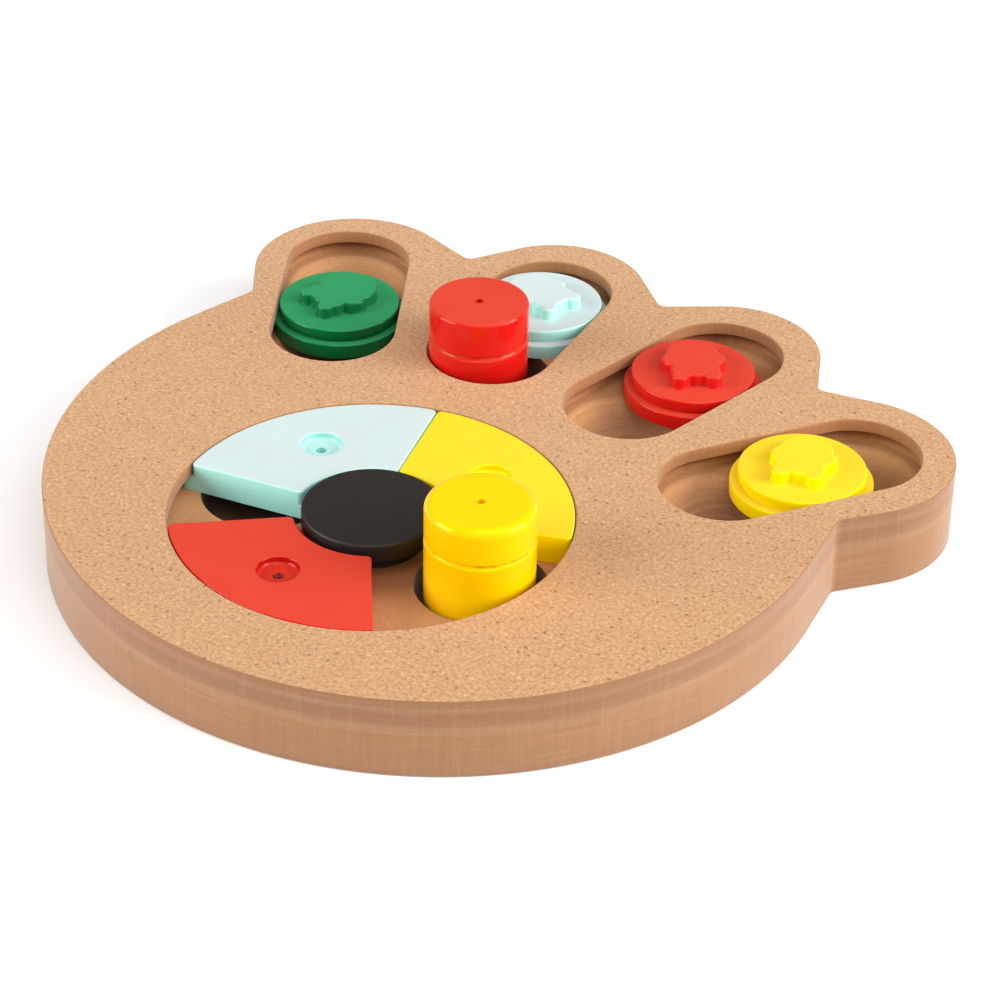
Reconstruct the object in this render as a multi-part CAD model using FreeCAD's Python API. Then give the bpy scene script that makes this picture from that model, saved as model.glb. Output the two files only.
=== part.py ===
import FreeCAD, Part
import math
import os

# Paw-shaped treat puzzle board, in millimetres.
# Three fibreboard sheets are glued face to face. The lower sheet holds the treat cups and dishes, the
# middle one has wide tracks, and the narrower openings of the upper one keep the sliding pucks and
# turning sectors in.
# The plan is drawn about the hub axis with the toes towards +Y and the underside at z = 0,
# and is moved at the end so that the origin lies under the middle of the board.

os.makedirs("parts", exist_ok=True)

V = FreeCAD.Vector
up = V(0, 0, 1)

# Sheets
base_thickness = 16.0
track_thickness = 5.0
lip_thickness = 4.0            # the upper sheet, which stands over the edges of the tracks

# Loose pegs and the cups that they stand in
peg_radius = {"red": 15.2, "yellow": 15.75}
peg_length = 38.7
peg_top_round = {"red": 1.2, "yellow": 2.6}
peg_foot_round = 1.0
peg_groove_drop = 11.9
peg_groove_radius = 1.0
peg_groove_depth = 0.8
peg_spur_radius = 1.2
peg_spur_depth = 4.0
cup_play = 3.25                # cup wall to the thicker peg, when the peg stands in the middle
palm_cup_depth = 9.0
slot_cup_depth = 11.8          # the cup in a toe slot is deeper, so its peg stands lower
cup_under_cap = 0.4            # how far a palm cup's rim reaches under the hub cap
cup_inside_palm = 0.4          # palm cup's rim to the lip round the palm
peg_rest_gap = {"red": 0.25, "yellow": 0.69}      # cup wall to the peg, which stands off centre
peg_rest_side = {"red": 222.1, "yellow": 295.6}   # the side it stands nearest to, from +X

# Toe slots
slot_over_cup = 0.25
slot_undercut = 2.75
slot_play = 4.85               # inner slots: travel left once a puck and a peg share the slot
outer_slot_travel = 42.8
inner_slot_web = 18.1          # palm opening to the nearest slot end
outer_slot_web = 25.2
inner_slot_bearing = 74.6      # slot's near end, seen from the hub
outer_slot_bearing = 45.6
inner_slot_heading = 81.1
outer_slot_heading = 58.5
dish_depth = 7.5
dish_step = 0.25               # dish rim inside the slot's outline

# Pucks
disc_clearance = 0.45
flange_clearance = 1.0
puck_recess = 0.5              # pucks end this far under the board's top, sectors level with it
lift_clearance = 0.5           # flange to the lip above it
disc_round = 0.6
flange_round = 0.5
puck_neck_depth = 0.5
puck_neck_height = 0.7

# Raised grips: a pad and four toes, with the hollows between the toes mostly filled
grip_height = 3.8
grip_pad_radius = 8.1
grip_pad_shift = 4.2
grip_bridge_radius = 4.2       # fills the hollow between the two middle toes
grip_bridge_reach = 4.9
grip_toe_radius = {"middle": 2.6, "cheek": 3.5, "outer": 3.9}    # cheeks fill in beside the middle toes
grip_toe_reach = {"middle": 9.74, "cheek": 6.5, "outer": 6.0}
grip_toe_spread = {"middle": 31.6, "cheek": 40.0, "outer": 101.5}
grip_web_round = 1.0
grip_top_round = 0.9

# Palm opening, hub and sectors
palm_undercut = 3.8
hub_cap_radius = 20.0
hub_cap_height = 1.7           # above the board's top
hub_cap_round = 0.7
hub_foot_radius = 15.4
sector_cap_gap = 2.2
sector_foot_gap = 0.9
sector_rim_gap = 0.3
sector_flange_gap = 0.6
sector_span = 84.4
sector_peg_gap = 2.0           # yellow sector's end to the yellow peg
sector_pair_gap = 0.3          # between the yellow and the mint sector, in degrees
sector_gap_share = 0.585       # of the track left open, the share between the mint and the red sector
sector_corner_round = 1.6
sector_top_round = 0.5
dimple_radius = 6.1
dimple_depth = 2.2
dimple_floor_round = 1.2
dimple_spur_radius = 1.5       # a cone, as the tip of the bit leaves it
dimple_spur_end = 0.4
dimple_spur_depth = 1.6
palm_cups = 4

# Hub screw, driven from the underside
screw_head_radius = 4.2
screw_shank_radius = 2.2
screw_recess = 0.3
screw_engagement = 7.0
screw_bore_clearance = 0.15
screw_slot_width = 1.0
screw_slot_depth = 1.6

# Outline
outline_shift = 0.75                  # the outline is cut this far to the right of the pockets
rear_wall = 25.25
inner_toe_wall = 8.65
outer_toe_wall = 12.15
inner_toe_shift = V(0.45, 3.2, 0)     # toe arc centre from the slot's far end
outer_toe_shift = V(-2.6, -1.4, 0)
outer_toe_standout = 5.7              # toe arc centre outside the body circle
body_flank = 12.1                     # where straight runs leave the arcs, as angles from +X
outer_toe_flanks = (-36.6, 105.0)
inner_toe_flanks = (28.4, 128.2)
notch_round = 3.0

# Where the loose pieces were left
puck_places = {
    "green": {"pair": "outer", "side": -1, "from_far_end": 24.7, "toes": -110.0},
    "mint": {"pair": "inner", "side": -1, "from_far_end": 6.0, "toes": -11.0},
    "red": {"pair": "inner", "side": 1, "from_far_end": 12.3, "toes": -50.0},
    "yellow": {"pair": "outer", "side": 1, "from_far_end": 17.6, "toes": -69.0},
}
peg_slot = {"pair": "inner", "side": -1}

# Worked out from the sizes above
undercut_top = base_thickness + track_thickness
board_top = undercut_top + lip_thickness
puck_top = board_top - puck_recess
flange_top = undercut_top - lift_clearance
cup_radius = max(peg_radius.values()) + cup_play
slot_radius = cup_radius + slot_over_cup
undercut_radius = slot_radius + slot_undercut
disc_radius = slot_radius - disc_clearance
flange_radius = undercut_radius - flange_clearance
inner_slot_travel = max(peg_radius.values()) + flange_radius + slot_play
track_middle = hub_cap_radius - cup_under_cap + cup_radius
palm_radius = track_middle + cup_radius + cup_inside_palm
palm_track_radius = palm_radius + palm_undercut
eps = 0.01


def polar(centre, radius, degrees):
    angle = math.radians(degrees)
    return centre + V(radius * math.cos(angle), radius * math.sin(angle), 0)


def mirrored(point, side):
    return V(side * point.x, point.y, point.z)


def at_height(point, z):
    return V(point.x, point.y, z)


def cylinder(centre, radius, low, high):
    return Part.makeCylinder(radius, high - low, at_height(centre, low), up)


def slot_line(pair):
    """Near and far end centres of the right-hand slot of a pair."""
    web, bearing, heading, travel = {
        "inner": (inner_slot_web, inner_slot_bearing, inner_slot_heading, inner_slot_travel),
        "outer": (outer_slot_web, outer_slot_bearing, outer_slot_heading, outer_slot_travel),
    }[pair]
    near = polar(V(0, 0, 0), palm_radius + web + slot_radius, bearing)
    return near, polar(near, travel, heading)


def slot_ends(pair, side):
    near, far = slot_line(pair)
    return mirrored(near, side), mirrored(far, side)


slots = [("outer", -1), ("inner", -1), ("inner", 1), ("outer", 1)]


def stadium(near, far, radius, low, high):
    """Straight slot with round ends, from one end centre to the other."""
    along = (far - near).normalize()
    side = V(-along.y, along.x, 0) * radius
    corners = [near + side, near - side, far - side, far + side]
    wire = Part.Wire([
        Part.Arc(corners[0], near - along * radius, corners[1]).toShape(),
        Part.LineSegment(corners[1], corners[2]).toShape(),
        Part.Arc(corners[2], far + along * radius, corners[3]).toShape(),
        Part.LineSegment(corners[3], corners[0]).toShape(),
    ])
    face = Part.Face(wire)
    face.translate(V(0, 0, low))
    return face.extrude(V(0, 0, high - low))


def flank_line(lobe, degrees):
    normal = polar(V(0, 0, 0), 1, degrees)
    return normal, normal.dot(lobe["centre"]) + lobe["radius"]


def flank_meeting(lobe_a, degrees_a, lobe_b, degrees_b):
    """Notch point where the tangent lines of two neighbouring lobes meet."""
    normal_a, reach_a = flank_line(lobe_a, degrees_a)
    normal_b, reach_b = flank_line(lobe_b, degrees_b)
    cross = normal_a.x * normal_b.y - normal_a.y * normal_b.x
    x = (reach_a * normal_b.y - reach_b * normal_a.y) / cross
    y = (normal_a.x * reach_b - normal_b.x * reach_a) / cross
    return V(x, y, 0)


def outline_lobes():
    """Palm and four toes, counter-clockwise from the palm, with their flank angles."""
    inner_centre = slot_line("inner")[1] + inner_toe_shift
    outer_centre = slot_line("outer")[1] + outer_toe_shift
    rear = palm_radius + rear_wall
    reach = rear + outer_toe_standout
    body_y = (outer_centre.dot(outer_centre) - reach ** 2) / (2 * (reach + outer_centre.y))
    right = [
        {"centre": outer_centre, "radius": slot_radius + outer_toe_wall, "flanks": outer_toe_flanks},
        {"centre": inner_centre, "radius": slot_radius + inner_toe_wall, "flanks": inner_toe_flanks},
    ]
    left = [
        {
            "centre": mirrored(lobe["centre"], -1),
            "radius": lobe["radius"],
            "flanks": (180 - lobe["flanks"][1], 180 - lobe["flanks"][0]),
        }
        for lobe in reversed(right)
    ]
    body = {
        "centre": V(0, body_y, 0),
        "radius": body_y + rear,
        "flanks": (180 - body_flank, 360 + body_flank),
    }
    outline = [body] + right + left
    for lobe in outline:
        lobe["centre"] = lobe["centre"] + V(outline_shift, 0, 0)
    return outline


lobes = outline_lobes()
outline_top = lobes[2]["centre"].y + lobes[2]["radius"]
outline_bottom = lobes[0]["centre"].y - lobes[0]["radius"]
move_to_origin = V(-outline_shift, -(outline_top + outline_bottom) / 2, 0)


def board_prism(low, high):
    """Paw outline from one height to another, with its notches rounded."""
    notches = []
    for index, lobe in enumerate(lobes):
        previous = lobes[index - 1]
        notches.append(flank_meeting(previous, previous["flanks"][1], lobe, lobe["flanks"][0]))
    edges = []
    for index, lobe in enumerate(lobes):
        first, last = lobe["flanks"]
        leave = polar(lobe["centre"], lobe["radius"], first)
        middle = polar(lobe["centre"], lobe["radius"], (first + last) / 2)
        arrive = polar(lobe["centre"], lobe["radius"], last)
        edges.append(Part.LineSegment(notches[index], leave).toShape())
        edges.append(Part.Arc(leave, middle, arrive).toShape())
        edges.append(Part.LineSegment(arrive, notches[(index + 1) % len(lobes)]).toShape())
    face = Part.Face(Part.Wire(edges))
    face.translate(V(0, 0, low))
    prism = face.extrude(V(0, 0, high - low))
    corners = [
        edge for edge in prism.Edges
        if is_upright(edge) and any(flat_distance(edge.CenterOfMass, notch) < eps for notch in notches)
    ]
    return prism.makeFillet(notch_round, corners)


def is_upright(edge):
    if not isinstance(edge.Curve, Part.Line):
        return False
    ends = [vertex.Point for vertex in edge.Vertexes]
    return flat_distance(ends[0], ends[1]) < eps


def flat_distance(a, b):
    return math.hypot(a.x - b.x, a.y - b.y)


def round_edges(shape, radius, height):
    """Fillet every edge that lies flat at one height."""
    edges = [
        edge for edge in shape.Edges
        if abs(edge.BoundBox.ZMin - height) < eps and abs(edge.BoundBox.ZMax - height) < eps
    ]
    return shape.makeFillet(radius, edges)


def cup_centre(index):
    return polar(V(0, 0, 0), track_middle, index * 360 / palm_cups)


def dish(centre):
    """Spherical bowl sunk in the base sheet at a slot's end."""
    rim = slot_radius - dish_step
    ball = (rim ** 2 + dish_depth ** 2) / (2 * dish_depth)
    return Part.makeSphere(ball, at_height(centre, base_thickness + ball - dish_depth))


def base_panel():
    panel = board_prism(0, base_thickness)
    cuts = [
        cylinder(cup_centre(index), cup_radius, base_thickness - palm_cup_depth, board_top)
        for index in range(palm_cups)
    ]
    for pair, side in slots:
        near, far = slot_ends(pair, side)
        if (pair, side) == (peg_slot["pair"], peg_slot["side"]):
            cuts.append(cylinder(near, cup_radius, base_thickness - slot_cup_depth, board_top))
        else:
            cuts.append(dish(near))
        cuts.append(dish(far))
    cuts.append(cylinder(V(0, 0, 0), screw_shank_radius + screw_bore_clearance, -1, board_top))
    cuts.append(screw_head(screw_bore_clearance, -1))
    for cut in cuts:
        panel = panel.cut(cut)
    return panel


def open_panel(low, high, round_opening, slot_opening):
    """Sheet with the round palm opening and the four toe slots cut right through."""
    panel = board_prism(low, high)
    panel = panel.cut(cylinder(V(0, 0, 0), round_opening, low - 1, high + 1))
    for pair, side in slots:
        near, far = slot_ends(pair, side)
        panel = panel.cut(stadium(near, far, slot_opening, low - 1, high + 1))
    return panel


def track_panel():
    return open_panel(base_thickness, undercut_top, palm_track_radius, undercut_radius)


def lip_panel():
    return open_panel(undercut_top, board_top, palm_radius, slot_radius)


def screw_head(clearance, low):
    """Countersunk head: a short rim, then a 45 degree cone down to the shank."""
    rim = screw_recess + clearance
    wide = screw_head_radius + clearance
    narrow = screw_shank_radius + clearance
    head = Part.makeCylinder(wide, rim - low, V(0, 0, low), up)
    cone = Part.makeCone(wide, narrow, wide - narrow, V(0, 0, rim), up)
    return head.fuse(cone)


def hub_screw():
    low = screw_recess
    wide = screw_head_radius
    cone = Part.makeCone(wide, screw_shank_radius, wide - screw_shank_radius, V(0, 0, low), up)
    shank = Part.makeCylinder(screw_shank_radius, base_thickness + screw_engagement - low, V(0, 0, low), up)
    screw = cone.fuse(shank).removeSplitter()
    length = 2 * screw_shank_radius + screw_slot_width
    for turn in (0, 90):
        arm = Part.makeBox(length, screw_slot_width, screw_slot_depth)
        arm.translate(V(-length / 2, -screw_slot_width / 2, low))
        arm.rotate(V(0, 0, 0), up, turn)
        screw = screw.cut(arm)
    return screw


def hub():
    cap = cylinder(V(0, 0, 0), hub_cap_radius, undercut_top, board_top + hub_cap_height)
    cap = round_edges(cap, hub_cap_round, board_top + hub_cap_height)
    foot = cylinder(V(0, 0, 0), hub_foot_radius, base_thickness, undercut_top)
    pilot = cylinder(V(0, 0, 0), screw_shank_radius, base_thickness - 1, base_thickness + screw_engagement)
    return cap.fuse(foot).removeSplitter().cut(pilot)


def ring_wedge(inner, outer, low, high, start, span, corner):
    """Part of a ring between two radial planes, with its upright edges rounded."""
    points = [
        polar(V(0, 0, low), inner, start),
        polar(V(0, 0, low), inner, start + span / 2),
        polar(V(0, 0, low), inner, start + span),
        polar(V(0, 0, low), outer, start + span),
        polar(V(0, 0, low), outer, start + span / 2),
        polar(V(0, 0, low), outer, start),
    ]
    wire = Part.Wire([
        Part.Arc(points[0], points[1], points[2]).toShape(),
        Part.LineSegment(points[2], points[3]).toShape(),
        Part.Arc(points[3], points[4], points[5]).toShape(),
        Part.LineSegment(points[5], points[0]).toShape(),
    ])
    wedge = Part.Face(wire).extrude(V(0, 0, high - low))
    return wedge.makeFillet(corner, [edge for edge in wedge.Edges if is_upright(edge)])


def sector_starts():
    """Where each sector begins: yellow beside its peg, mint against it, red in the open track."""
    stop = peg_centre("yellow")
    stop_angle = math.degrees(math.atan2(stop.y, stop.x))
    reach = peg_radius["yellow"] + sector_peg_gap
    stop_half_angle = math.degrees(math.asin(reach / stop.Length))
    yellow = stop_angle + stop_half_angle
    mint = yellow + sector_span + sector_pair_gap
    open_angle = 360 - 3 * sector_span - sector_pair_gap - 2 * stop_half_angle
    red = mint + sector_span + sector_gap_share * open_angle
    return {"yellow": yellow, "mint": mint, "red": red}


def sector(start):
    """Turning cover: a flanged ring piece that runs under the hub cap and the palm's lip."""
    flange = ring_wedge(
        hub_foot_radius + sector_foot_gap, palm_track_radius - sector_flange_gap,
        base_thickness, flange_top, start, sector_span, sector_corner_round)
    plate = ring_wedge(
        hub_cap_radius + sector_cap_gap, palm_radius - sector_rim_gap,
        flange_top - 1, board_top, start, sector_span, sector_corner_round)
    plate = round_edges(plate, sector_top_round, board_top)
    middle = polar(V(0, 0, 0), track_middle, start + sector_span / 2)
    floor = board_top - dimple_depth
    dimple = cylinder(middle, dimple_radius, floor, board_top + 1)
    dimple = round_edges(dimple, dimple_floor_round, floor)
    spur_low = at_height(middle, floor - dimple_spur_depth)
    spur = Part.makeCone(dimple_spur_end, dimple_spur_radius, dimple_spur_depth, spur_low, up)
    return plate.fuse(flange).removeSplitter().cut(dimple).cut(spur)


def puck_centre(place):
    near, far = slot_ends(place["pair"], place["side"])
    return far + (near - far).normalize() * place["from_far_end"]


def puck(centre):
    """Stepped disc: the flange runs under the slot's lip, the disc fills the slot."""
    neck_top = flange_top + puck_neck_height
    neck_radius = disc_radius - puck_neck_depth
    profile = [
        V(0, 0, base_thickness),
        V(flange_radius, 0, base_thickness),
        V(flange_radius, 0, flange_top),
        V(neck_radius, 0, flange_top),
        V(neck_radius, 0, neck_top),
        V(disc_radius, 0, neck_top),
        V(disc_radius, 0, puck_top),
        V(0, 0, puck_top),
    ]
    shape = Part.Face(Part.makePolygon(profile + profile[:1])).revolve(V(0, 0, 0), up, 360)
    shape = round_edges(shape, disc_round, puck_top)
    rim = [
        edge for edge in shape.Edges
        if abs(edge.BoundBox.ZMin - flange_top) < eps and abs(edge.BoundBox.XMax - flange_radius) < eps
    ]
    shape = shape.makeFillet(flange_round, rim)
    shape.translate(centre)
    return shape


def disc_face(centre, radius):
    return Part.Face(Part.Wire(Part.makeCircle(radius, centre, up)))


def grip(centre, toe_heading):
    """Raised paw figure glued on a puck, toes along the heading, its hollow corners rounded."""
    discs = [disc_face(V(0, grip_bridge_reach, 0), grip_bridge_radius)]
    for kind, reach in grip_toe_reach.items():
        for side in (-1, 1):
            toe = polar(V(0, 0, 0), reach, 90 + side * grip_toe_spread[kind])
            discs.append(disc_face(toe, grip_toe_radius[kind]))
    figure = disc_face(V(0, -grip_pad_shift, 0), grip_pad_radius).fuse(discs).removeSplitter()
    grown = figure.Faces[0].OuterWire.makeOffset2D(grip_web_round)
    shape = Part.Face(grown.makeOffset2D(-grip_web_round)).extrude(V(0, 0, grip_height))
    shape = round_edges(shape, grip_top_round, grip_height)
    shape.rotate(V(0, 0, 0), up, toe_heading - 90)
    shape.translate(at_height(centre, puck_top))
    return shape


def peg_centre(colour):
    cup = slot_ends(peg_slot["pair"], peg_slot["side"])[0] if colour == "red" else cup_centre(0)
    return polar(cup, cup_radius - peg_radius[colour] - peg_rest_gap[colour], peg_rest_side[colour])


def peg(colour):
    """Loose round peg with a groove that a paw can hook and a spur hole in its top."""
    low = base_thickness - {"red": slot_cup_depth, "yellow": palm_cup_depth}[colour]
    high = low + peg_length
    radius = peg_radius[colour]
    groove_z = high - peg_groove_drop
    shape = cylinder(V(0, 0, 0), radius, low, high)
    shape = round_edges(shape, peg_top_round[colour], high)
    shape = round_edges(shape, peg_foot_round, low)
    reach = radius + peg_groove_radius - peg_groove_depth
    shape = shape.cut(Part.makeTorus(reach, peg_groove_radius, V(0, 0, groove_z), up))
    shape = shape.cut(cylinder(V(0, 0, 0), peg_spur_radius, high - peg_spur_depth, high + 1))
    shape.translate(peg_centre(colour))
    return shape


def save(name, shape):
    if len(shape.Solids) != 1 or not shape.isValid():
        raise ValueError(name + " is not one sound solid")
    solid = shape.Solids[0].copy()
    solid.translate(move_to_origin)
    solid.exportStep("parts/" + name + ".step")
    box = solid.BoundBox
    print(name, round(solid.Volume), [round(value, 2) for value in
          (box.XMin, box.YMin, box.ZMin, box.XMax, box.YMax, box.ZMax)])


save("base_panel", base_panel())
save("track_panel", track_panel())
save("lip_panel", lip_panel())
save("hub", hub())
save("hub_screw", hub_screw())
for colour, start in sector_starts().items():
    save("sector_" + colour, sector(start))
for colour, place in puck_places.items():
    save("puck_" + colour, puck(puck_centre(place)))
    save("grip_" + colour, grip(puck_centre(place), place["toes"]))
for colour in peg_radius:
    save("peg_" + colour, peg(colour))
print("moved to origin by", round(move_to_origin.y, 3))
for colour, place in puck_places.items():
    near, far = slot_ends(place["pair"], place["side"])
    along = (far - near).normalize()
    print("slot of", colour, [round(value, 5) for value in (along.x, along.y)],
          "near play", round((puck_centre(place) - near).Length, 2))
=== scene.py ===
import math

import bmesh
import bpy
import numpy as np
from mathutils import Matrix, Vector


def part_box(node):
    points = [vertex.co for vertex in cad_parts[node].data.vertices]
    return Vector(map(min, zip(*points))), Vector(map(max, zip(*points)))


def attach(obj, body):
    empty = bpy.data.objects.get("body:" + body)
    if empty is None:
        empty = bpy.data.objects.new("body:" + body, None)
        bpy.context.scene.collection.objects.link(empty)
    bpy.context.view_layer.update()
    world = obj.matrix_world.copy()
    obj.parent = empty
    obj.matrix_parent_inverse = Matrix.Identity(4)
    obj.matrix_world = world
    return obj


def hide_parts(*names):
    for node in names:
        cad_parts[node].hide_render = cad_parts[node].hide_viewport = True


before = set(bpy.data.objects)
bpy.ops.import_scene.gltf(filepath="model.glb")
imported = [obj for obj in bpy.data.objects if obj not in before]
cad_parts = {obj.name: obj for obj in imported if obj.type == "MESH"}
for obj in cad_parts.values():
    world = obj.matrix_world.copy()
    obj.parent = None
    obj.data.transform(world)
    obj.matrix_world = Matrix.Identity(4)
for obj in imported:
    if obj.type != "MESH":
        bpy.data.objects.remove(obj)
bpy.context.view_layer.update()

mm = 0.001
scene = bpy.context.scene
print("frame loaded:", len(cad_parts), "nodes")

# Top of each glued sheet and of the sliding pieces' flanges, in millimetres
sheets = {"base": 16.0, "track": 21.0, "lip": 25.0}
flangeTop = 20.5

# For the meshes: points this near each other in metres are one, rims this near in height
# lie in one plane, and an edge is sharp from this angle in degrees
weld = 2e-7
level = 1e-6
sharpAngle = 38

# How many steps go round each kind of curve
steps = {"circle": 96, "palm": 180, "slotEnd": 48, "notch": 9, "dish": 24, "screwHole": 48, "puck": 128,
         "toe": 40, "web": 8, "sector": 72, "sectorCorner": 7, "dimple": 64, "peg": 128, "hub": 160}


def midPoint(node):
    low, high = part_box(node)
    return (np.array(low) + np.array(high))[:2] / 2 / mm


hubPlace = midPoint("hub_screw")      # every plan below is drawn about the hub


# Plan paths

def arcPoints(centre, radius, start, end, count):
    # centre + radius (cos a, sin a), and the normals that point out of the solid:
    # away from the centre on an anticlockwise arc, towards it on a hollow clockwise one
    angle = np.radians(np.linspace(start, end, count))
    ray = np.stack([np.cos(angle), np.sin(angle)], 1)
    return np.asarray(centre) + radius * ray, ray * (1 if end > start else -1)


def closedPath(arcs):
    # arcs in a row, joined by the straight runs between their ends
    parts = [arcPoints(*arc) for arc in arcs]
    return np.concatenate([p for p, n in parts]), np.concatenate([n for p, n in parts])


def circlePath(centre, radius, count=steps["circle"]):
    points, normals = arcPoints(centre, radius, 0, 360, count + 1)
    return points[:-1], normals[:-1]


def polar(centre, radius, angle):
    turn = math.radians(angle)
    return np.asarray(centre) + radius * np.array([math.cos(turn), math.sin(turn)])


def headingOf(vector):
    return math.degrees(math.atan2(vector[1], vector[0]))


# Profiles, as offsets out of the path and heights

def bend(u, v, radius, start, end, count=4):
    # a round corner: centre (u, v) + radius (cos a, sin a)
    angle = np.radians(np.linspace(start, end, count))
    return np.stack([u + radius * np.cos(angle), v + radius * np.sin(angle)], 1)


def profile(*parts):
    return np.vstack([np.atleast_2d(np.asarray(part, float)) for part in parts])


def carried(path, section):
    # the surface path point + offset * normal, at the section's height, for each section point
    points, normals = path
    plan = points[None] + section[:, 0, None, None] * normals[None]
    height = np.broadcast_to(section[:, 1, None, None], plan.shape[:2] + (1,))
    return np.concatenate([plan, height], 2)


def turned(centre, section, count=steps["circle"]):
    # the surface of revolution (r cos a, r sin a, z) of a section of radii and heights
    rays = circlePath((0, 0), 1, count)[1]
    plan = np.asarray(centre) + section[:, 0, None, None] * rays[None]
    height = np.broadcast_to(section[:, 1, None, None], plan.shape[:2] + (1,))
    return np.concatenate([plan, height], 2)


# A mark on each surface tells its material what it is: 0 outside, 1 pocket or dimple, 2 cup or grip.
# These two ramps part 1 from 0, and 2 from 1.
pastZero = (0.4, 0.6)
pastOne = (1.4, 1.6)


def buildPiece(name, surfaces, marks=None):
    # quads between the rings of each surface, welded, with every open rim filled flat
    points, faces, start = [], [], 0
    for rings in surfaces:
        rows, columns = rings.shape[:2]
        index = np.arange(rows * columns).reshape(rows, columns) + start
        beside = np.roll(index, -1, 1)
        faces.append(np.stack([index[:-1], beside[:-1], beside[1:], index[1:]], -1).reshape(-1, 4))
        points.append(rings.reshape(-1, 3))
        start += rows * columns
    mesh = bpy.data.meshes.new(name)
    mesh.from_pydata(np.concatenate(points) * mm, [], np.concatenate(faces))
    if marks:
        perPoint = np.repeat(marks, [len(part) for part in points])
        mark = mesh.attributes.new("pocket", "FLOAT", "POINT")
        mark.data.foreach_set("value", perPoint.astype(np.float32))
    work = bmesh.new()
    work.from_mesh(mesh)
    bmesh.ops.remove_doubles(work, verts=work.verts, dist=weld)
    openEdges = [edge for edge in work.edges if len(edge.link_faces) == 1]
    heights = sorted({round(edge.verts[0].co.z, 6) for edge in openEdges})
    for height in heights:
        rim = [edge for edge in openEdges if abs(edge.verts[0].co.z - height) < level]
        bmesh.ops.triangle_fill(work, use_beauty=True, edges=rim, normal=(0, 0, 1))
    bmesh.ops.recalc_face_normals(work, faces=work.faces)
    work.to_mesh(mesh)
    work.free()
    mesh.polygons.foreach_set("use_smooth", np.ones(len(mesh.polygons), bool))
    mesh.set_sharp_from_angle(angle=math.radians(sharpAngle))
    piece = bpy.data.objects.new(name, mesh)
    scene.collection.objects.link(piece)
    return piece


def settle(piece, body, node, material):
    piece.data.materials.append(material)
    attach(piece, body)
    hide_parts(node)
    print("made", piece.name, "with", len(piece.data.polygons), "faces")


# Shader maths

class Wire:
    def __init__(self, tree, socket=None):
        self.tree = tree
        self.socket = socket

    def node(self, kind, settings={}, sockets={}, out=0):
        made = self.tree.nodes.new(kind)
        for name, value in settings.items():
            if name == "stops":
                ramp = made.color_ramp
                while len(ramp.elements) < len(value):
                    ramp.elements.new(0.5)
                for element, (place, colour) in zip(ramp.elements, value):
                    element.position = place
                    element.color = colour
            else:
                setattr(made, name, value)
        for name, value in sockets.items():
            if isinstance(value, Wire):
                self.tree.links.new(value.socket, made.inputs[name])
            else:
                made.inputs[name].default_value = value
        return Wire(self.tree, made.outputs[out])

    def maths(self, operation, *values):
        return self.node("ShaderNodeMath", {"operation": operation}, dict(enumerate(values)))

    def __add__(self, other):
        return self.maths("ADD", self, other)

    def __sub__(self, other):
        return self.maths("SUBTRACT", self, other)

    def __rsub__(self, other):
        return self.maths("SUBTRACT", other, self)

    def __mul__(self, other):
        return self.maths("MULTIPLY", self, other)

    def __truediv__(self, other):
        return self.maths("DIVIDE", self, other)

    __radd__ = __add__
    __rmul__ = __mul__

    def ramp(self, low, high):
        # from 0 to 1 as the value goes from low to high, eased and held beyond them
        eased = {"interpolation_type": "SMOOTHSTEP"}
        return self.node("ShaderNodeMapRange", eased, {0: self, 1: low, 2: high})

    def larger(self, other):
        return self.maths("MAXIMUM", self, other)

    def unsigned(self):
        return self.maths("ABSOLUTE", self)

    def mixed(self, factor, other):
        return self.node("ShaderNodeMix", {"data_type": "RGBA"}, {0: factor, 6: self, 7: other}, 2)

    def placed(self, scale=(1, 1, 1), turn=(0, 0, 0), shift=(0, 0, 0)):
        return self.node("ShaderNodeMapping", {}, {0: self, 1: shift, 2: turn, 3: scale})

    def height(self):
        return self.node("ShaderNodeSeparateXYZ", {}, {0: self}, "Z")

    def mark(self):
        return self.node("ShaderNodeAttribute", {"attribute_name": "pocket"}, {}, "Fac")

    def noise(self, scale, detail=2.0, rough=0.5, out=0):
        sockets = {"Vector": self, "Scale": scale, "Detail": detail, "Roughness": rough}
        return self.node("ShaderNodeTexNoise", {}, sockets, out)

    def cells(self, scale, out=0):
        sockets = {"Vector": self, "Scale": scale}
        return self.node("ShaderNodeTexVoronoi", {"voronoi_dimensions": "2D"}, sockets, out)

    def channel(self, name):
        return self.node("ShaderNodeSeparateColor", {}, {0: self}, name)

    def stops(self, *value):
        return self.node("ShaderNodeValToRGB", {"stops": value}, {0: self})

    def colour(self, value):
        return self.node("ShaderNodeMix", {"data_type": "RGBA"}, {0: 0.0, 6: value, 7: value}, 2)

    def spots(self, every, small, large, share):
        # seen from above, a share of the cells of this size has one dot, from small to large in radius
        rimBlur, lotBlur = 0.08, 0.02
        near = self.cells(1 / every) * every
        lot = self.cells(1 / every, "Color")
        radius = lot.channel("Red") * (large - small) + small
        dot = (radius - near).ramp(-rimBlur, rimBlur)
        return dot * lot.channel("Green").ramp(1 - share - lotBlur, 1 - share + lotBlur)


def startMaterial(name):
    material = bpy.data.materials.new(name)
    material.use_nodes = True
    tree = material.node_tree
    shader = tree.nodes["Principled BSDF"]
    start = Wire(tree)
    inMillimetres = start.node("ShaderNodeTexCoord", out="Object").placed(scale=(1 / mm, 1 / mm, 1 / mm))
    upward = start.node("ShaderNodeTexCoord", out="Normal").height()
    return material, shader, inMillimetres, upward


def feed(shader, **values):
    for name, value in values.items():
        socket = shader.inputs[name.replace("_", " ")]
        if isinstance(value, Wire):
            value.tree.links.new(value.socket, socket)
        else:
            socket.default_value = value


def bump(height, distance, strength):
    sockets = {"Strength": strength, "Distance": distance, "Height": height}
    return height.node("ShaderNodeBump", {}, sockets)


def grey(value):
    return (value, value, value, 1.0)


# Fibreboard

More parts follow.
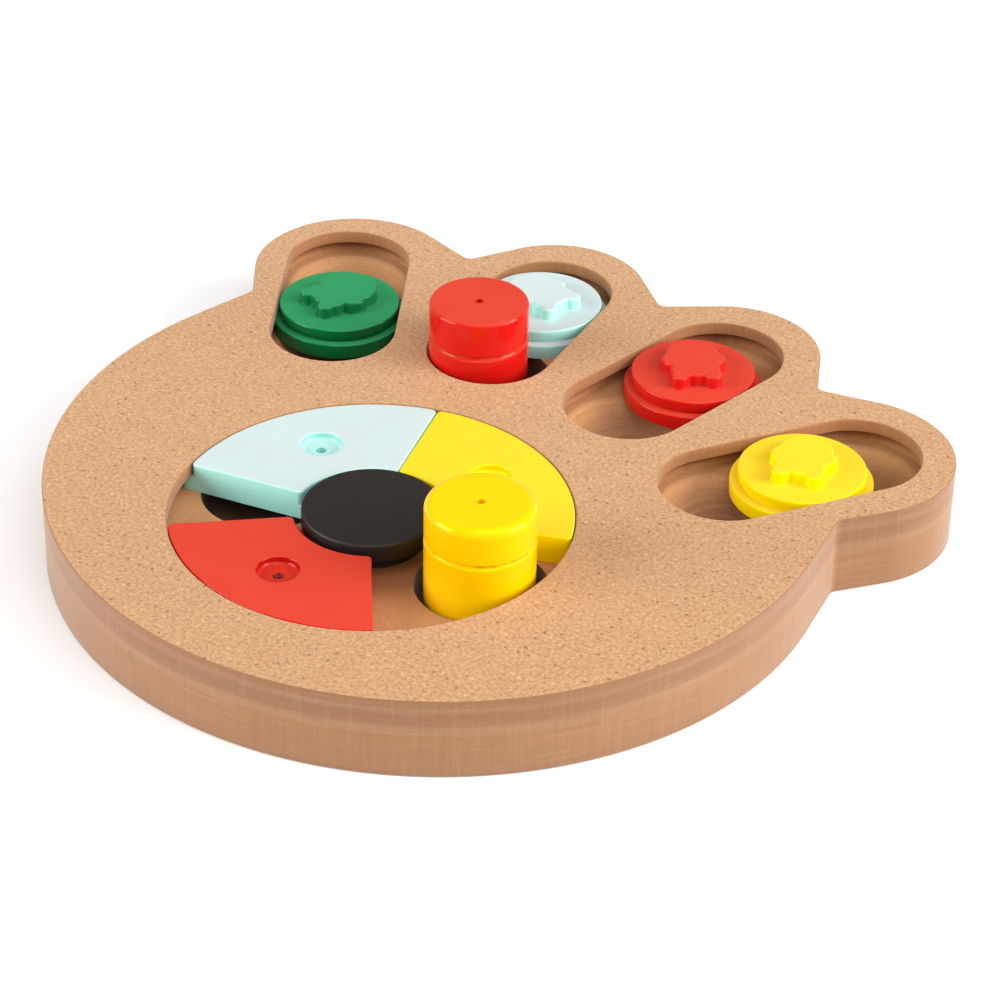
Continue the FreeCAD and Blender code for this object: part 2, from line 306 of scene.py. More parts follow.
fibre = {
    # the pressed face: its ground by grain, then what lies in it
    "ground": [(0.32, (0.35, 0.16, 0.062, 1.0)), (0.50, (0.47, 0.25, 0.11, 1.0)),
               (0.68, (0.575, 0.34, 0.17, 1.0))],
    "fleck": (0.20, 0.078, 0.027, 1.0),
    "pale": (0.68, 0.45, 0.27, 1.0),
    "cut": (0.20, 0.085, 0.032, 1.0),
    # the cut edge outside, by height over the underside
    "bands": [(0.0, (0.25, 0.12, 0.053, 1.0)), (3.0, (0.29, 0.13, 0.05, 1.0)),
              (13.2, (0.295, 0.134, 0.051, 1.0)), (14.6, (0.315, 0.153, 0.068, 1.0)),
              (15.6, (0.30, 0.15, 0.072, 1.0)), (17.2, (0.255, 0.114, 0.047, 1.0)),
              (20.0, (0.247, 0.106, 0.041, 1.0)), (21.7, (0.28, 0.135, 0.063, 1.0)),
              (23.2, (0.255, 0.113, 0.046, 1.0)), (25.0, (0.25, 0.106, 0.039, 1.0))],
    # inside the pockets: dish, the track's wall with painted shade that darkens it towards the lip over
    # it, and the lip
    "pockets": [(8.5, (0.35, 0.16, 0.07, 1.0)), (12.0, (0.47, 0.22, 0.085, 1.0)),
                (15.0, (0.57, 0.275, 0.10, 1.0)), (15.9, (0.46, 0.215, 0.08, 1.0)),
                (16.0, (0.52, 0.245, 0.095, 1.0)), (16.9, (0.48, 0.225, 0.09, 1.0)),
                (18.0, (0.35, 0.14, 0.055, 1.0)), (18.9, (0.24, 0.08, 0.025, 1.0)),
                (20.9, (0.19, 0.058, 0.017, 1.0)), (21.1, (0.33, 0.14, 0.05, 1.0)),
                (25.0, (0.36, 0.16, 0.06, 1.0))],
    # painted shade: the deep cups are nearly black
    "cup": (0.12, 0.06, 0.032, 1.0),
    "ring": (0.19, 0.085, 0.038, 1.0),
    "cloud": (0.27, 0.12, 0.05, 1.0),
    "scorch": (0.12, 0.055, 0.03, 1.0),
    # painted shade for the track floor round the hub's foot
    "hubShade": (0.19, 0.055, 0.015, 1.0),
    "sheen": (1.0, 0.95, 0.88, 1.0),
}

# where one look of the board passes into the next: heights, and for the painted shade round the hub also
# reach from the hub
fades = {
    "topFace": (24.7, 24.9), "underside": (0.3, 0.1), "dish": (15.95, 15.75), "cup": (16.0, 15.7),
    "cupFloor": (8.62, 8.53), "hubShade": (16.3, 16.1), "hubShadeReach": (34, 22),
}


def fibreboardMaterial():
    material, shader, p, upward = startMaterial("fibreboard")
    z = p.height()
    face = upward.unsigned().ramp(0.80, 0.97)
    mark = p.mark()
    grain = p.noise(0.92, 3.0, 0.66)
    warped = p.node("ShaderNodeVectorMath", {"operation": "MULTIPLY_ADD"},
                    {0: p.noise(1.1, 2.0, out="Color"), 1: (1.1, 1.1, 0.0), 2: p})
    # the pressed face
    ground = (grain + (p.noise(0.12, 2.0) - 0.5) * 0.10).stops(*fibre["ground"])
    beside = warped.placed(shift=(31.7, 12.3, 0))
    fleck = warped.spots(4.3, 0.08, 0.52, 0.62).larger(beside.spots(2.2, 0.04, 0.28, 0.6) * 0.7)
    tall = warped.placed(scale=(1, 0.45, 1), turn=(0, 0, 0.5), shift=(7.1, 3.9, 0))
    long = warped.placed(scale=(0.4, 1, 1), turn=(0, 0, 0.3))
    pale = tall.spots(3.6, 0.04, 0.30, 0.5).larger(long.spots(4.4, 0.04, 0.30, 0.6))
    faceTint = ground.mixed(pale * 0.6, fibre["pale"]).mixed(fleck * 0.78, fibre["fleck"])
    # the cut sides: level layers by height, crossed by fine upright cutter lines
    wavy = z + (p.noise(0.06, 1.0) - 0.5) * 1.2
    full = sheets["lip"]
    outer = (wavy / full).stops(*[(height / full, tint) for height, tint in fibre["bands"]])
    inner = (z / full).stops(*[(height / full, tint) for height, tint in fibre["pockets"]])
    lines = p.placed(scale=(0.9, 0.9, 0.04)).noise(1.0, 3.0, 0.6)
    layers = p.placed(scale=(0.035, 0.035, 1.3)).noise(1.0, 3.0, 0.6)
    sideTint = outer.mixed(mark.ramp(*pastZero), inner)
    sideTint = sideTint.mixed(lines.ramp(0.48, 0.72) * 0.22, fibre["cut"])
    sideTint = sideTint.mixed(layers.ramp(0.48, 0.70) * 0.18, fibre["cut"])
    sideTint = sideTint.mixed(layers.ramp(0.47, 0.30) * 0.07, fibre["pale"])
    sideTint = sideTint.mixed(lines.ramp(0.48, 0.28) * 0.06, fibre["pale"])
    sideTint = sideTint.mixed(grain.ramp(0.45, 0.70) * 0.12, fibre["cut"])
    # pocket floors: the sheet's own middle, with the bit's rings in the dishes
    rings = p.placed(scale=(0.04, 0.04, 3.0)).noise(1.0, 3.0, 0.65)
    dished = z.ramp(*fades["dish"])
    floorTint = inner.mixed(rings.ramp(0.40, 0.62) * dished * 0.45, fibre["ring"])
    floorTint = floorTint.mixed(rings.ramp(0.38, 0.30) * dished * 0.35, fibre["pale"])
    floorTint = floorTint.mixed(grain.ramp(0.40, 0.75) * 0.35, fibre["cloud"])
    floorTint = floorTint.mixed(z.ramp(*fades["cupFloor"]) * face, fibre["scorch"])
    # painted shade: the track floor darkens round the hub's foot, where the hub's cap shades it
    fromHub = p.placed(scale=(1, 1, 0), shift=(-hubPlace[0], -hubPlace[1], 0))
    reach = fromHub.node("ShaderNodeVectorMath", {"operation": "LENGTH"}, {0: fromHub}, "Value")
    hubShade = reach.ramp(*fades["hubShadeReach"]) * z.ramp(*fades["hubShade"])
    floorTint = floorTint.mixed(hubShade * 0.6, fibre["hubShade"])
    # both outer faces are pressed; the cups are painted nearly black, as painted shade for their depth
    pressed = face * (z.ramp(*fades["topFace"]) + z.ramp(*fades["underside"]))
    tint = sideTint.mixed(face, floorTint).mixed(pressed, faceTint)
    tint = tint.mixed(mark.ramp(*pastOne) * z.ramp(*fades["cup"]), fibre["cup"])
    relief = grain * (0.5 - face * 0.35) - fleck * 0.2 + lines * (1 - face) * 0.4
    feed(shader, Base_Color=tint, Roughness=0.5 + grain * 0.25, Normal=bump(relief, 0.12 * mm, 0.4))
    feed(shader, Specular_IOR_Level=0.45)
    feed(shader, Sheen_Weight=0.45, Sheen_Roughness=0.4, Sheen_Tint=fibre["sheen"])
    return material


# The boards, in millimetres and degrees. The outline's middle line stands beside the hub's by the
# shift, and the outer toes' centres stand out of the body's arc by the standout.
outline = {
    "shift": 0.75, "rearWall": 25.25, "palmRadius": 58.0, "palmTrack": 61.8,
    "slotRadius": 19.25, "slotTrack": 22.0, "cupRadius": 19.0, "cupRound": 0.6,
    "palmCupDepth": 9.0, "slotCupDepth": 11.8,
    "dishRadius": 19.0, "dishDepth": 7.5, "trackMiddle": 38.6,
    "innerSlot": {"web": 18.1, "bearing": 74.6, "heading": 81.1, "travel": 41.6,
                  "toeWall": 8.65, "toeShift": (0.45, 3.2), "flanks": (28.4, 128.2)},
    "outerSlot": {"web": 25.2, "bearing": 45.6, "heading": 58.5, "travel": 42.8,
                  "toeWall": 12.15, "toeShift": (-2.6, -1.4), "flanks": (-36.6, 105.0)},
    "standout": 5.7, "bodyFlank": 12.1, "notchRound": 3.0, "step": 1.1,
    "edgeRound": 0.4, "footRound": 0.5, "support": 0.4, "wallSupport": 0.3,
}
slots = [("outerSlot", -1), ("innerSlot", -1), ("innerSlot", 1), ("outerSlot", 1)]
screwHole = {"head": 4.35, "rim": 0.45, "shank": 2.35, "coneTop": 2.45}


def slotEnds(pair, side):
    slot = outline[pair]
    near = polar((0, 0), outline["palmRadius"] + slot["web"] + outline["slotRadius"], slot["bearing"])
    far = polar(near, slot["travel"], slot["heading"])
    return near * (side, 1), far * (side, 1)


def lobeArcs():
    # the palm and the four toes, anticlockwise, each with the angles where its flanks leave it
    right = []
    for pair in ("outerSlot", "innerSlot"):
        slot = outline[pair]
        centre = slotEnds(pair, 1)[1] + slot["toeShift"]
        right.append((centre, outline["slotRadius"] + slot["toeWall"], slot["flanks"]))
    left = [(c * (-1, 1), r, (180 - f[1], 180 - f[0])) for c, r, f in reversed(right)]
    rear = outline["palmRadius"] + outline["rearWall"]
    reach = rear + outline["standout"]
    outerToe = right[0][0]
    bodyY = (outerToe @ outerToe - reach ** 2) / (2 * (reach + outerToe[1]))
    flank = outline["bodyFlank"]
    return [(np.array([0, bodyY]), bodyY + rear, (180 - flank, 360 + flank))] + right + left


def outlinePath():
    lobes = lobeArcs()
    arcs = []
    for index, (centre, radius, flanks) in enumerate(lobes):
        lastCentre, lastRadius, lastFlanks = lobes[index - 1]
        ends = [polar((0, 0), 1, lastFlanks[1]), polar((0, 0), 1, flanks[0])]
        reaches = [ends[0] @ lastCentre + lastRadius, ends[1] @ centre + radius]
        hollow = outline["notchRound"]
        corner = np.linalg.solve(np.array(ends), np.array(reaches) + hollow)
        leave = lastFlanks[1] + 180
        arcs.append((corner, hollow, leave, leave - (lastFlanks[1] - flanks[0]) % 360, steps["notch"]))
        count = int(radius * math.radians(flanks[1] - flanks[0]) / outline["step"])
        arcs.append((centre, radius, flanks[0], flanks[1], count))
    points, normals = closedPath(arcs)
    return points + hubPlace + (outline["shift"], 0), normals


def slotPath(pair, side, radius):
    near, far = slotEnds(pair, side)
    heading = headingOf(far - near)
    return closedPath([
        (far + hubPlace, radius, heading - 90, heading + 90, steps["slotEnd"]),
        (near + hubPlace, radius, heading + 90, heading + 270, steps["slotEnd"]),
    ])


def openPanel(name, node, rim, hole, roundRadius, slotRadius, material):
    palm = circlePath(hubPlace, roundRadius, steps["palm"])
    surfaces = [carried(outlinePath(), rim), carried(palm, hole)]
    for pair, side in slots:
        surfaces.append(carried(slotPath(pair, side, slotRadius), hole))
    marks = [0] + [1] * (len(surfaces) - 1)
    settle(buildPiece(name, surfaces, marks), "board", node, material)


def makeTrackPanel(material):
    wall = profile((0, sheets["base"]), (0, sheets["track"]))
    wide = outline["palmTrack"], outline["slotTrack"]
    openPanel("trackPanel", "track_panel", wall, wall, *wide, material)


def makeLipPanel(material):
    edge, support, top = outline["edgeRound"], outline["support"], sheets["lip"]
    wallTop = top - edge - outline["wallSupport"]
    rim = profile(
        (0, sheets["track"]),
        (0, wallTop),
        bend(-edge, top - edge, edge, 0, 90),
        (-edge - support, top),
    )
    hole = profile(
        (edge + support, top),
        bend(edge, top - edge, edge, 90, 180),
        (0, wallTop),
        (0, sheets["track"]),
    )
    wide = outline["palmRadius"], outline["slotRadius"]
    openPanel("lipPanel", "lip_panel", rim, hole, *wide, material)


def dishSection():
    # a ball of radius R sunk so that its rim is r wide and d deep: z = rim + R - d - sqrt(R^2 - r^2)
    rim, deep = outline["dishRadius"], outline["dishDepth"]
    ball = (rim ** 2 + deep ** 2) / (2 * deep)
    radii = rim * np.sin(np.linspace(math.pi / 2, 0, steps["dish"]))
    heights = sheets["base"] + ball - deep - np.sqrt(ball ** 2 - radii ** 2)
    return np.stack([radii, heights], 1)


def cupSection(depth):
    rim, floor, r = outline["cupRadius"], sheets["base"] - depth, outline["cupRound"]
    return profile(
        (rim, sheets["base"]),
        (rim, floor + r),
        bend(rim - r, floor + r, r, 0, -90),
        (rim - 2 * r, floor),
        (0, floor),
    )


def screwHoleSection():
    head, shank = screwHole["head"], screwHole["shank"]
    return profile(
        (head, 0),
        (head, screwHole["rim"]),
        (shank, screwHole["coneTop"]),
        (shank, sheets["base"]),
    )


def makeBasePanel(material):
    foot = outline["footRound"]
    rim = profile(
        (-foot - outline["support"], 0),
        bend(-foot, foot, foot, -90, 0),
        (0, sheets["base"]),
    )
    surfaces, marks = [carried(outlinePath(), rim)], [0]
    for quarter in range(4):
        middle = polar(hubPlace, outline["trackMiddle"], quarter * 90)
        surfaces.append(turned(middle, cupSection(outline["palmCupDepth"])))
        marks.append(2)
    for pair, side in slots:
        near, far = slotEnds(pair, side)
        cup = (pair, side) == ("innerSlot", -1)
        nearSection = cupSection(outline["slotCupDepth"]) if cup else dishSection()
        surfaces.append(turned(near + hubPlace, nearSection))
        surfaces.append(turned(far + hubPlace, dishSection()))
        marks += [2 if cup else 1, 1]
    surfaces.append(turned(hubPlace, screwHoleSection(), steps["screwHole"]))
    marks.append(0)
    settle(buildPiece("basePanel", surfaces, marks), "board", "base_panel", material)


fibreboard = fibreboardMaterial()
makeLipPanel(fibreboard)
makeTrackPanel(fibreboard)
makeBasePanel(fibreboard)


# Paint: the tops are painted paler than the sides as a painted sheen of the light from above, and
# painted shade lies dark in the dimples

paints = {
    # top: the paint with a painted sheen of the light from above; side: the paint itself; deep: painted
    # shade for the dimples and spur holes
    "green": {
        "top": (0.021, 0.245, 0.083, 1.0), "side": (0.001, 0.120, 0.031, 1.0),
        "deep": (0.001, 0.05, 0.015, 1.0), "gloss": (0.45, 1.0, 0.7, 1.0),
    },
    "mint": {
        "top": (0.505, 0.575, 0.572, 1.0), "side": (0.38, 0.80, 0.71, 1.0),
        "deep": (0.14, 0.38, 0.34, 1.0), "gloss": (0.9, 1.0, 1.0, 1.0),
    },
    "red": {
        "top": (0.58, 0.045, 0.022, 1.0), "side": (0.56, 0.008, 0.005, 1.0),
        "deep": (0.17, 0.002, 0.001, 1.0), "gloss": (1.0, 0.45, 0.4, 1.0),
    },
    "yellow": {
        "top": (0.80, 0.55, 0.022, 1.0), "side": (0.97, 0.72, 0.0, 1.0),
        "deep": (0.50, 0.28, 0.0, 1.0), "gloss": (1.0, 0.95, 0.1, 1.0),
    },
    "yellowPeg": {
        "top": (0.80, 0.515, 0.0, 1.0), "side": (0.90, 0.48, 0.0, 1.0),
        "deep": (0.50, 0.28, 0.0, 1.0), "gloss": (1.0, 0.92, 0.12, 1.0),
        "foot": (1.0, 0.64, 0.0, 1.0), "footLightFade": (31, 20),
    },
}
dustTint = (0.80, 0.72, 0.62, 1.0)

# heights over which a dimple's wall and the painted shade on its floor set in
dimpleFades = {"wall": (24.97, 24.7), "floor": (22.85, 22.5)}

# wear at the height of the pegs' grooves, fading over a band either side of it
wear = {
    "height": {"red": 31.0, "yellowPeg": 34.0}, "strength": {"red": 0.3, "yellowPeg": 0.6},
    "band": (0.8, 0.3), "colour": (0.30, 0.12, 0.005, 1.0),
}


def paintMaterial(name):
    paint = paints[name]
    material, shader, p, upward = startMaterial(name + "Paint")
    peel = p.noise(0.55, 2.0)
    fine = p.noise(2.6, 3.0, 0.6)
    wave = p.noise(0.09, 1.0)
    litTopTint = p.colour(paint["top"]).mixed(wave.ramp(0.3, 0.8) * 0.12, paint["side"])
    mark = p.mark()
    sunk = mark * p.height().ramp(*dimpleFades["wall"])
    side = p.colour(paint["side"])
    # painted light: the yellow peg's side lightens towards its foot, against the shade of the cup it
    # stands in
    if "foot" in paint:
        side = side.mixed(p.height().ramp(*paint["footLightFade"]), paint["foot"])
    # painted sheen: faces that point up take the paler top tint
    tint = side.mixed(upward.ramp(0.55, 0.95) * (1 - sunk * 0.5), litTopTint)
    # painted shade: the dimples' walls and floors darken to the deep tint
    below = sunk * p.height().ramp(*dimpleFades["floor"])
    tint = tint.mixed(sunk * upward.ramp(0.9, 0.2) * 0.45, paint["deep"]).mixed(below, paint["deep"])
    dust = p.spots(5.0, 0.0, 0.13, 0.4) * upward.ramp(0.9, 0.99)
    tint = tint.mixed(dust * 0.18, dustTint)
    if name in wear["height"]:
        # paint that is thin in the groove lets the wood show
        groove = (p.height() - wear["height"][name]).unsigned().ramp(*wear["band"])
        bare = p.placed(scale=(1, 1, 0.3)).noise(0.22, 4.0, 0.7).ramp(0.38, 0.60)
        tint = tint.mixed(groove * bare * wear["strength"][name], wear["colour"])
    # the paint is duller on the grips, the tops and the dimples' floors; its gloss takes its own tint
    rough = 0.10 + fine.ramp(0.3, 0.8) * 0.10 + mark.ramp(*pastOne) * 0.2
    rough = rough + upward.ramp(0.92, 0.99) * 0.52 + below * 0.3
    relief = peel * 0.7 + fine * 0.3 + wave * 1.5
    feed(shader, Base_Color=tint, Roughness=rough, Normal=bump(relief, 0.10 * mm, 0.30))
    feed(shader, Specular_IOR_Level=0.45, Specular_Tint=paint["gloss"])
    return material


paintOf = {name: paintMaterial(name) for name in paints}
colours = ("green", "mint", "red", "yellow")


# Pucks

# low is the underside of pucks and sectors alike, 0.05 over the sheet that they slide on
puck = {
    "low": 16.05, "top": 24.5, "disc": 18.8, "discRound": 0.6, "support": 0.5, "footSupport": 1.0,
    "flange": 21.0, "flangeRound": 0.5, "neck": 18.3, "neckTop": 21.2, "neckRound": 0.3,
}


def makePuck(name):
    top, step, neckTop = puck["top"], flangeTop, puck["neckTop"]
    r, f, n = puck["discRound"], puck["flangeRound"], puck["neckRound"]
    section = profile(
        (0, puck["low"]),
        (puck["flange"] - puck["footSupport"], puck["low"]),
        (puck["flange"], puck["low"]),
        (puck["flange"], step - f),
        bend(puck["flange"] - f, step - f, f, 0, 90),
        (puck["neck"], step),
        (puck["neck"], neckTop),
        bend(puck["disc"] - n, neckTop + n, n, -90, 0, count=3),
        bend(puck["disc"] - r, top - r, r, 0, 90, count=5),
        (puck["disc"] - r - puck["support"], top),
        (0, top),
    )
    piece = buildPiece(name + "Puck", [turned(midPoint("puck_" + name), section, steps["puck"])])
    settle(piece, name + "_puck", "puck_" + name, paintOf[name])


# Grips

grip = {
    "height": 3.8, "round": 0.9, "web": 1.0, "foot": 0.4, "support": 0.25, "longTurn": 60,
    # place and radius
    "pad": (0.0, -4.2, 8.1), "bridge": (0.0, 4.9, 4.2),
    # reach, bearing off the heading, and radius
    "middleToe": (9.74, 31.6, 2.6), "cheek": (6.5, 40.0, 3.5), "outerToe": (6.0, 101.5, 3.9),
    "heading": {"green": -110.0, "mint": -11.0, "red": -50.0, "yellow": -69.0},
}


def toeCircle(toe, side):
    reach, spread, radius = grip[toe]
    return tuple(polar((0, 0), reach, 90 - side * spread)) + (radius,)


def webbedPath(circles, web):
    # round the outside of the circles in turn, with a hollow arc of radius web between neighbours
    arcs = []
    count = len(circles)
    hollows = []
    for index in range(count):
        a, b = np.array(circles[index]), np.array(circles[(index + 1) % count])
        gap = b[:2] - a[:2]
        apart = np.linalg.norm(gap)
        reachA, reachB = a[2] + web, b[2] + web
        along = (apart ** 2 + reachA ** 2 - reachB ** 2) / (2 * apart)
        out = math.sqrt(reachA ** 2 - along ** 2)
        unit = gap / apart
        hollows.append(a[:2] + unit * along + np.array([unit[1], -unit[0]]) * out)
    for index, circle in enumerate(circles):
        centre = np.array(circle[:2])
        first = headingOf(hollows[index - 1] - centre)
        last = first + (headingOf(hollows[index] - centre) - first) % 360
        kind = "toe" if last - first > grip["longTurn"] else "web"
        arcs.append((centre, circle[2], first, last, steps[kind]))
        following = np.array(circles[(index + 1) % count][:2])
        enter = headingOf(centre - hollows[index])
        leave = enter - (enter - headingOf(following - hollows[index])) % 360
        arcs.append((hollows[index], web, enter, leave, steps["web"]))
    return closedPath(arcs)


def gripPath(name):
    right = [toeCircle(toe, 1) for toe in ("outerToe", "cheek", "middleToe")]
    left = [toeCircle(toe, -1) for toe in ("middleToe", "cheek", "outerToe")]
    circles = [grip["pad"]] + right + [grip["bridge"]] + left
    points, normals = webbedPath(circles, grip["web"])
    turn = math.radians(grip["heading"][name] - 90)
    spin = np.array([[math.cos(turn), math.sin(turn)], [-math.sin(turn), math.cos(turn)]])
    return points @ spin + midPoint("puck_" + name), normals @ spin


def makeGrip(name):
    low = puck["top"]
    high, r, foot = low + grip["height"], grip["round"], grip["foot"]
    section = profile(
        bend(foot, low + foot, foot, 270, 180),
        bend(-r, high - r, r, 0, 90, count=5),
        (-r - grip["support"], high),
    )
    piece = buildPiece(name + "Grip", [carried(gripPath(name), section)], [2])
    settle(piece, name + "_puck", "grip_" + name, paintOf[name])


for name in colours:
    makePuck(name)
    makeGrip(name)


# Sectors

sector = {
    "top": 25.0, "span": 84.4, "corner": 1.6, "topRound": 0.5, "support": 0.4, "endInset": 0.03,
    "plate": (22.2, 57.7), "flange": (16.3, 61.2),       # inner and outer radius
    "dimple": {"radius": 6.1, "depth": 2.2, "floorRound": 1.2, "rimRound": 0.4},
    "spur": {"wide": 1.5, "narrow": 0.4, "depth": 1.6, "rimRound": 0.2, "support": 0.4},
    "start": {"yellow": 23.18, "mint": 107.88, "red": 223.57},
}


def wedgePath(inner, outer, start, end, inset):
    # a piece of a ring between two radial ends, with rounded corners
    f, around, corner = sector["corner"], steps["sector"], steps["sectorCorner"]
    outerTurn = math.degrees(math.asin((f + inset) / (outer - f)))
    innerTurn = math.degrees(math.asin((f + inset) / (inner + f)))
    outerStart, outerEnd = start + outerTurn, end - outerTurn
    innerStart, innerEnd = start + innerTurn, end - innerTurn
    points, normals = closedPath([
        ((0, 0), outer, outerStart, outerEnd, around),
        (polar((0, 0), outer - f, outerEnd), f, outerEnd, end + 90, corner),
        (polar((0, 0), inner + f, innerEnd), f, end + 90, innerEnd + 180, corner),
        ((0, 0), inner, innerEnd, innerStart, around),
        (polar((0, 0), inner + f, innerStart), f, innerStart + 180, start + 270, corner),
        (polar((0, 0), outer - f, outerStart), f, start + 270, outerStart + 360, corner),
    ])
    return points + hubPlace, normals


def makeSector(name):
    start = sector["start"][name]
    end = start + sector["span"]
    low, step, top, r = puck["low"], flangeTop, sector["top"], sector["topRound"]
    flangeLoop = wedgePath(*sector["flange"], start, end, 0)
    plateLoop = wedgePath(*sector["plate"], start, end, sector["endInset"])
    wall = carried(flangeLoop, profile((0, low), (0, step)))
    plateSection = profile((0, step), bend(-r, top - r, r, 0, 90), (-r - sector["support"], top))
    plate = carried(plateLoop, plateSection)
    middle = polar(hubPlace, outline["trackMiddle"], (start + end) / 2)
    dimple, spur = sector["dimple"], sector["spur"]
    wide, floor = dimple["radius"], top - dimple["depth"]
    rim, bowl, lip = dimple["rimRound"], dimple["floorRound"], spur["rimRound"]
    hollow = turned(middle, profile(
        (wide + 2 * rim, top),
        bend(wide + rim, top - rim, rim, 90, 180),
        bend(wide - bowl, floor + bowl, bowl, 0, -90, count=6),
        (spur["wide"] + spur["support"], floor),
        bend(spur["wide"] + lip, floor - lip, lip, 90, 170, count=3),
        (spur["narrow"], floor - spur["depth"]),
        (0, floor - spur["depth"]),
    ), steps["dimple"])
    piece = buildPiece(name + "Sector", [np.concatenate([wall, plate]), hollow], [0, 1])
    settle(piece, name + "_sector", "sector_" + name, paintOf[name])


for name in sector["start"]:
    makeSector(name)


# Pegs

peg = {
    "length": 38.7, "footRound": 1.0, "footSupport": 0.4, "topSupport": 0.5,
    "grooveDrop": 11.9, "grooveRadius": 1.0, "grooveDepth": 0.8,
    "red": {"radius": 15.2, "topRound": 1.2, "cup": "slotCupDepth", "paint": "red"},
    "yellow": {"radius": 15.75, "topRound": 2.6, "cup": "palmCupDepth", "paint": "yellowPeg"},
}
spurHole = {"radius": 1.2, "depth": 4.0, "rimRound": 0.35, "support": 0.4}


def makePeg(name):
    size = peg[name]
    low = sheets["base"] - outline[size["cup"]]
    high = low + peg["length"]
    radius, r, foot = size["radius"], size["topRound"], peg["footRound"]
    groove, reach = high - peg["grooveDrop"], radius + peg["grooveRadius"] - peg["grooveDepth"]
    mouth = math.degrees(math.acos((radius - reach) / peg["grooveRadius"]))
    hole, rim = spurHole["radius"], spurHole["rimRound"]
    section = profile(
        (0, low),
        (radius - foot - peg["footSupport"], low),
        bend(radius - foot, low + foot, foot, -90, 0),
        bend(reach, groove, peg["grooveRadius"], 360 - mouth, mouth, count=9),
        bend(radius - r, high - r, r, 0, 90, count=9),
        (radius - r - peg["topSupport"], high),
        (hole + rim + spurHole["support"], high),
        bend(hole + rim, high - rim, rim, 90, 180),
        (hole, high - spurHole["depth"]),
        (0, high - spurHole["depth"]),
    )
    piece = buildPiece(name + "Peg", [turned(midPoint("peg_" + name), section, steps["peg"])])
    settle(piece, name + "_peg", "peg_" + name, paintOf[size["paint"]])


for name in ("red", "yellow"):
    makePeg(name)


# Hub, and the CAD screw under it

hub = {
    "cap": 20.0, "foot": 15.4, "top": 26.7, "round": 0.8, "underRound": 0.4, "support": 0.6,
    "colour": (0.011, 0.008, 0.006, 1.0), "dust": (0.30, 0.28, 0.26, 1.0),
}
zinc = {"bright": (0.58, 0.58, 0.60, 1.0), "dull": (0.40, 0.40, 0.42, 1.0)}


def hubMaterial():
    material, shader, p, upward = startMaterial("hubBlack")
    fine = p.noise(3.0, 3.0, 0.6)
    dust = p.spots(2.6, 0.0, 0.14, 0.45) * upward.ramp(0.8, 0.98)
    tint = p.colour(hub["colour"]).mixed(dust * 0.3, hub["dust"])
    feed(shader, Base_Color=tint, Roughness=0.42 + fine * 0.2, Normal=bump(fine, 0.08 * mm, 0.4))
    feed(shader, Specular_IOR_Level=0.4)
    return material


def makeHub(material):
    low, step, top = sheets["base"], sheets["track"], hub["top"]
    cap, r, under = hub["cap"], hub["round"], hub["underRound"]
    section = profile(
        (0, low),
        (hub["foot"], low),
        (hub["foot"], step),
        (cap - under, step),
        bend(cap - under, step + under, under, -90, 0, count=3),
        bend(cap - r, top - r, r, 0, 90, count=6),
        (cap - r - hub["support"], top),
        (0, top),
    )
    piece = buildPiece("hubCap", [turned(hubPlace, section, steps["hub"])])
    settle(piece, "board", "hub", material)


def screwMaterial():
    material, shader, p = startMaterial("zincSteel")[:3]
    fine = p.noise(4.0, 2.0)
    tint = p.colour(zinc["bright"]).mixed(fine.ramp(0.4, 0.8) * 0.4, zinc["dull"])
    feed(shader, Base_Color=tint, Roughness=0.3 + fine * 0.15, Metallic=1.0)
    return material


makeHub(hubMaterial())
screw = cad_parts["hub_screw"]
screw.data.materials.clear()
screw.data.materials.append(screwMaterial())
print("hub and screw done")


# Floor, light and camera

# In metres, watts and degrees. The box's reach and the backdrop's edge are cosines: how much a
# direction points to the box, and how much it points up.
studio = {
    "floorSize": 24.0, "floorDrop": 0.0002, "floorColour": grey(0.90),
    "wallLight": 0.32, "backdropLight": 1.0, "backdropEdge": (0.10, 0.03),
    "softbox": {"bearing": -15.0, "rise": 55.0, "light": 1.55, "reach": (0.70, 0.88)},
    "lampDistance": 2.0, "lampRise": 22.0, "lampSize": 1.25,
    "lamps": {"left": (230.0, 40.0), "right": (21.0, 48.0)},    # bearing and power
    "cameraFromHub": (0.4901, -0.631237, 0.5563),
    "cameraRight": (0.81009, 0.58604, 0.01748),
    "cameraUp": (-0.33461, 0.43763, 0.83458),
    "cameraForward": (-0.48145, 0.68193, -0.55062),
    "lens": 121.88, "sensor": 36.0,
}


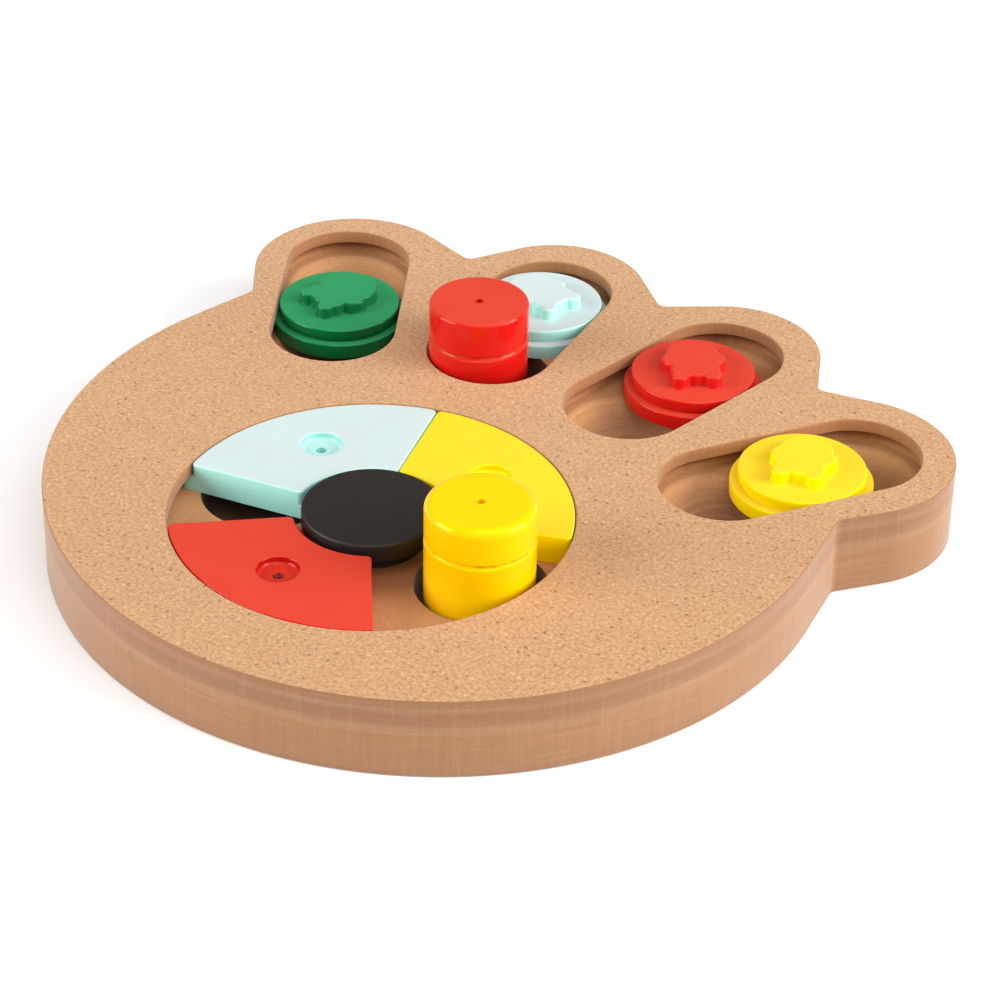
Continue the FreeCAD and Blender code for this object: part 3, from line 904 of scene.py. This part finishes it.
def makeFloor():
    half, low = studio["floorSize"] / 2, -studio["floorDrop"]
    mesh = bpy.data.meshes.new("floor")
    corners = [(-half, -half, low), (half, -half, low), (half, half, low), (-half, half, low)]
    mesh.from_pydata(corners, [], [(0, 1, 2, 3)])
    floor = bpy.data.objects.new("floor", mesh)
    scene.collection.objects.link(floor)
    material, shader = startMaterial("floorPaper")[:2]
    feed(shader, Base_Color=studio["floorColour"], Roughness=0.9)
    floor.data.materials.append(material)


def skyward(bearing, rise):
    flat = polar((0, 0), math.cos(math.radians(rise)), bearing)
    return Vector((*flat, math.sin(math.radians(rise))))


def makeLights():
    world = bpy.data.worlds.new("studio")
    world.use_nodes = True
    # a pale backdrop near the floor, dim walls, and a soft box high on one side
    sight = Wire(world.node_tree).node("ShaderNodeTexCoord", out="Generated")
    box = studio["softbox"]
    aim = skyward(box["bearing"], box["rise"])
    dot = {"operation": "DOT_PRODUCT"}
    nearness = sight.node("ShaderNodeVectorMath", dot, {0: sight, 1: aim}, "Value")
    extra = studio["backdropLight"] - studio["wallLight"]
    backdrop = sight.height().ramp(*studio["backdropEdge"]) * extra
    light = nearness.ramp(*box["reach"]) * box["light"] + backdrop + studio["wallLight"]
    world.node_tree.links.new(light.socket, world.node_tree.nodes["Background"].inputs["Strength"])
    world.node_tree.nodes["Background"].inputs["Color"].default_value = grey(1.0)
    scene.world = world
    for side, (bearing, power) in studio["lamps"].items():
        lamp = bpy.data.lights.new(side + "Lamp", "AREA")
        lamp.shape = "SQUARE"
        lamp.size = studio["lampSize"]
        lamp.energy = power
        holder = bpy.data.objects.new(side + "Lamp", lamp)
        aim = skyward(bearing, studio["lampRise"])
        holder.location = aim * studio["lampDistance"]
        holder.rotation_euler = (-aim).to_track_quat("-Z", "Y").to_euler()
        scene.collection.objects.link(holder)


def makeCamera():
    camera = bpy.data.cameras.new("camera")
    camera.lens = studio["lens"]
    camera.sensor_width = studio["sensor"]
    camera.sensor_fit = "HORIZONTAL"
    holder = bpy.data.objects.new("camera", camera)
    axes = [Vector(studio["cameraRight"]), Vector(studio["cameraUp"]), -Vector(studio["cameraForward"])]
    place = Vector((*hubPlace * mm, 0)) + Vector(studio["cameraFromHub"])
    holder.matrix_world = Matrix.Translation(place) @ Matrix(axes).transposed().to_4x4()
    scene.collection.objects.link(holder)
    scene.camera = holder


makeFloor()
makeLights()
makeCamera()
scene.view_settings.view_transform = "Standard"
print("studio done")
